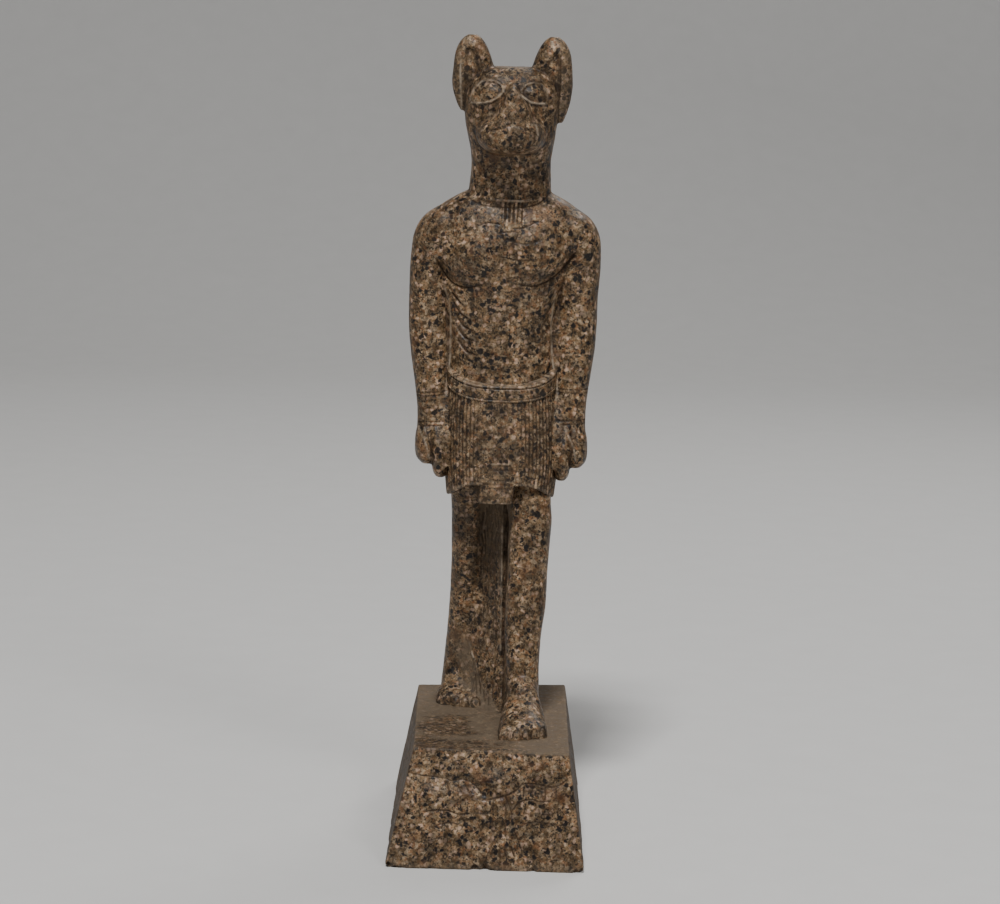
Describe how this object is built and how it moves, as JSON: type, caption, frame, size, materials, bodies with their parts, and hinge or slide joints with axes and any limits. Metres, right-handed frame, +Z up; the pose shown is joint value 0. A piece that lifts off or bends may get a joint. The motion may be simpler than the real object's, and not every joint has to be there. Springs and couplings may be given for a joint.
{
  "type": "bastet statue",
  "caption": "Striding cat-headed goddess statue in a pleated kilt, carved from one block of polished speckled granite, with a back pillar and a tapered plinth bearing a winged bird.",
  "frame": {"origin": "middle of the plinth's underside, which stands on z = 0", "axes": "+Z up along the figure, which faces -Y, its forward foot on the +X side"},
  "size_m": [0.0981, 0.156, 0.3986],
  "materials": {
    "granite": "polished"
  },
  "bodies": {
    "root": {"bastet_statue": "granite"}
  },
  "joints": []
}
